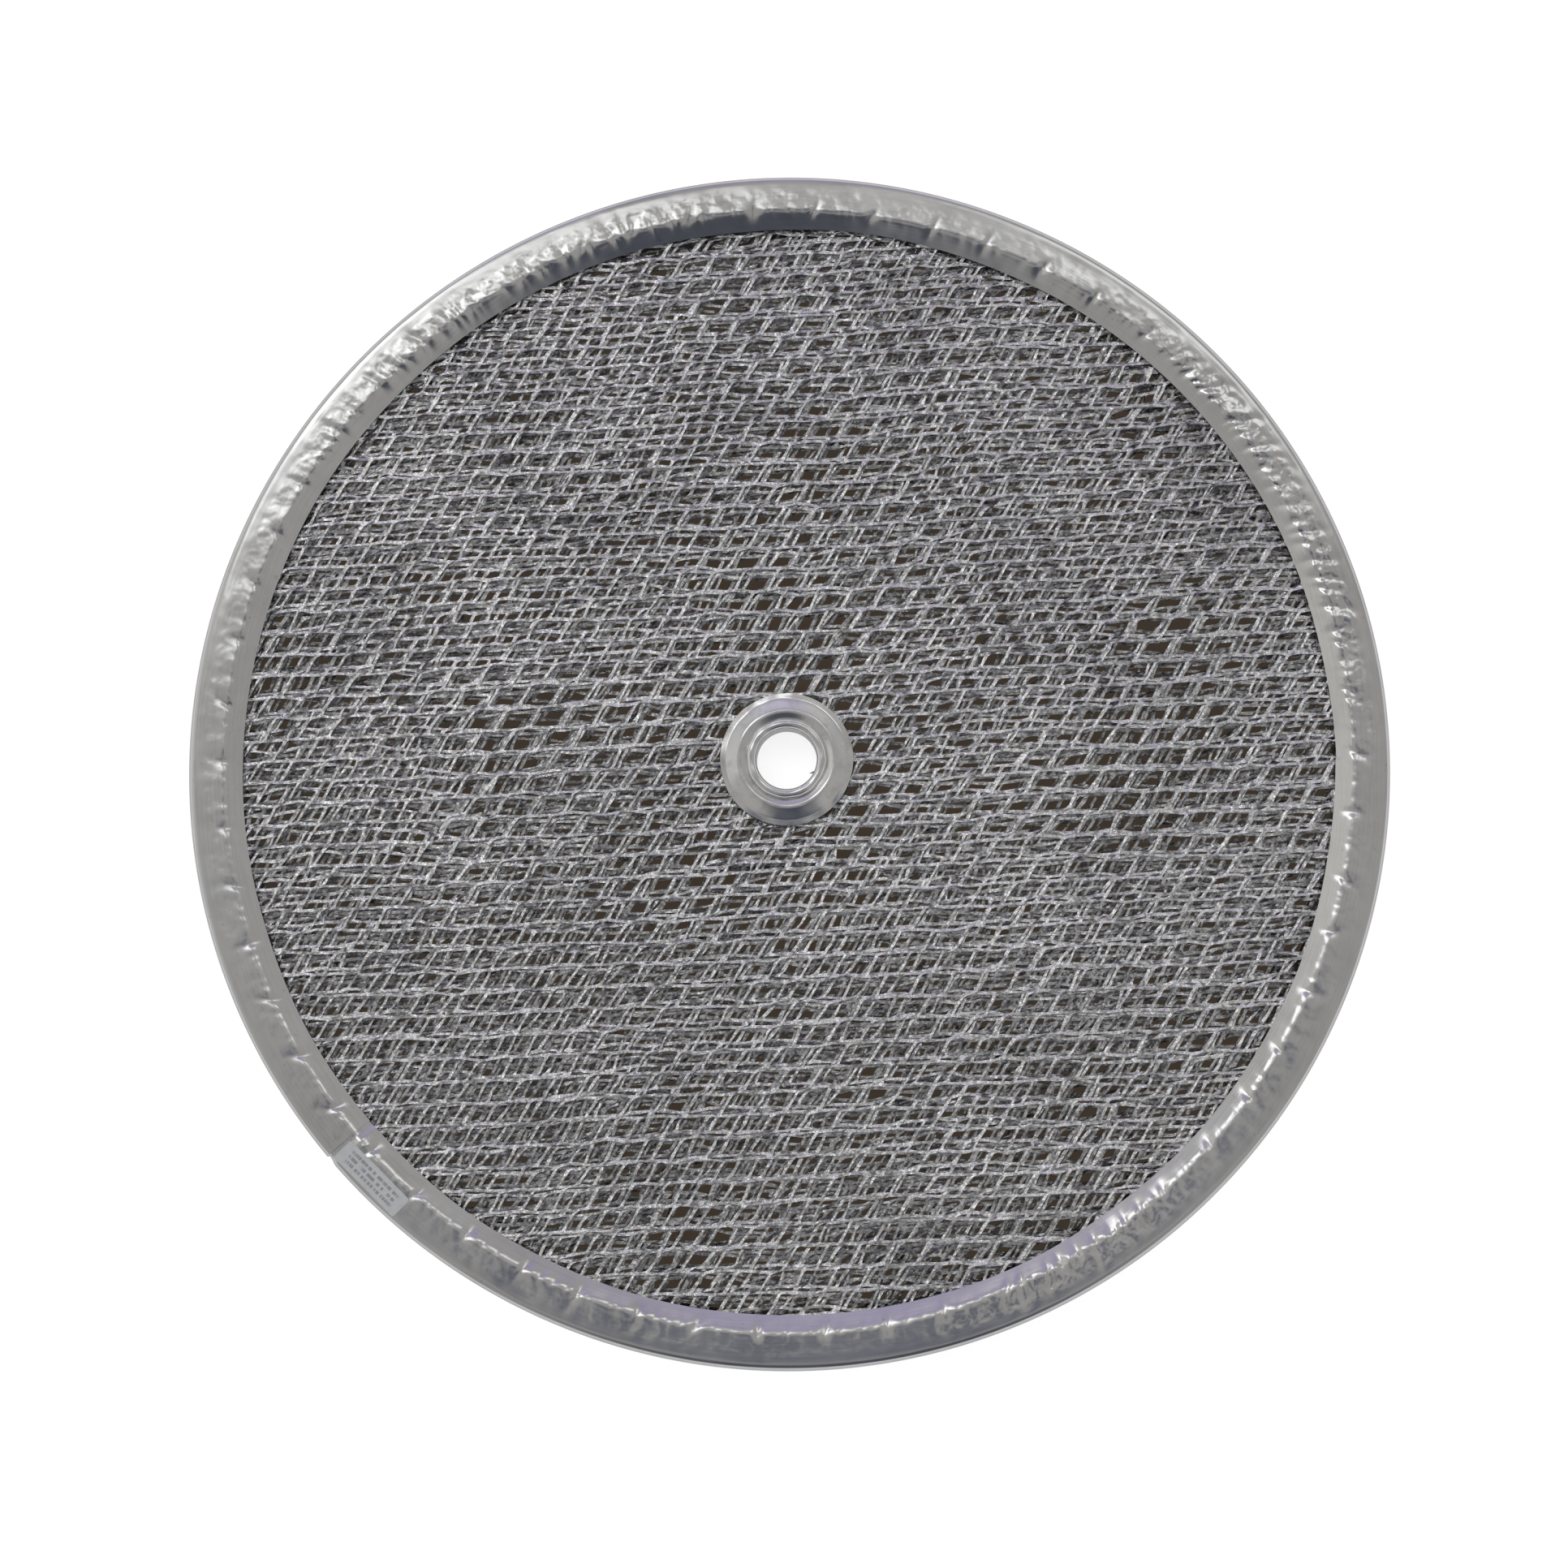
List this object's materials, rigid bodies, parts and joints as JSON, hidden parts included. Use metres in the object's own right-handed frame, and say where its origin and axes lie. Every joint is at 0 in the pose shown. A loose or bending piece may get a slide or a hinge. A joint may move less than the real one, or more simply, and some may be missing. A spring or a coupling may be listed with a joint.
{
  "type": "round mesh grease filter",
  "caption": "Round grease filter: layers of expanded aluminium mesh held in a rolled channel rim, with a crimped grommet and through hole at the centre.",
  "frame": {"origin": "centre of the filter on the plane of the rim's rear face", "axes": "+Z along the centre hole, out of the front face that carries the label; +X and +Y lie in the rear face plane, with the label in the quadrant between -X and -Y"},
  "size_m": [0.2666, 0.2666, 0.0096],
  "materials": {
    "rim_strip": "mill-finish rolled strip, puckered along the inner crease",
    "mesh": "bright slit and expanded foil, twisted strands",
    "grommet": "pressed and rolled, satin with light scuffs",
    "label_face": "blank off-white paper label"
  },
  "bodies": {
    "root": {"rim_channel": "rim_strip", "front_screen": "mesh", "media_layer_1": "mesh", "media_layer_2": "mesh", "media_layer_3": "mesh", "media_layer_4": "mesh", "media_layer_5": "mesh", "media_layer_6": "mesh", "media_layer_7": "mesh", "rear_screen": "mesh", "grommet_barrel": "grommet", "grommet_washer": "grommet", "label": "label_face"}
  },
  "joints": []
}
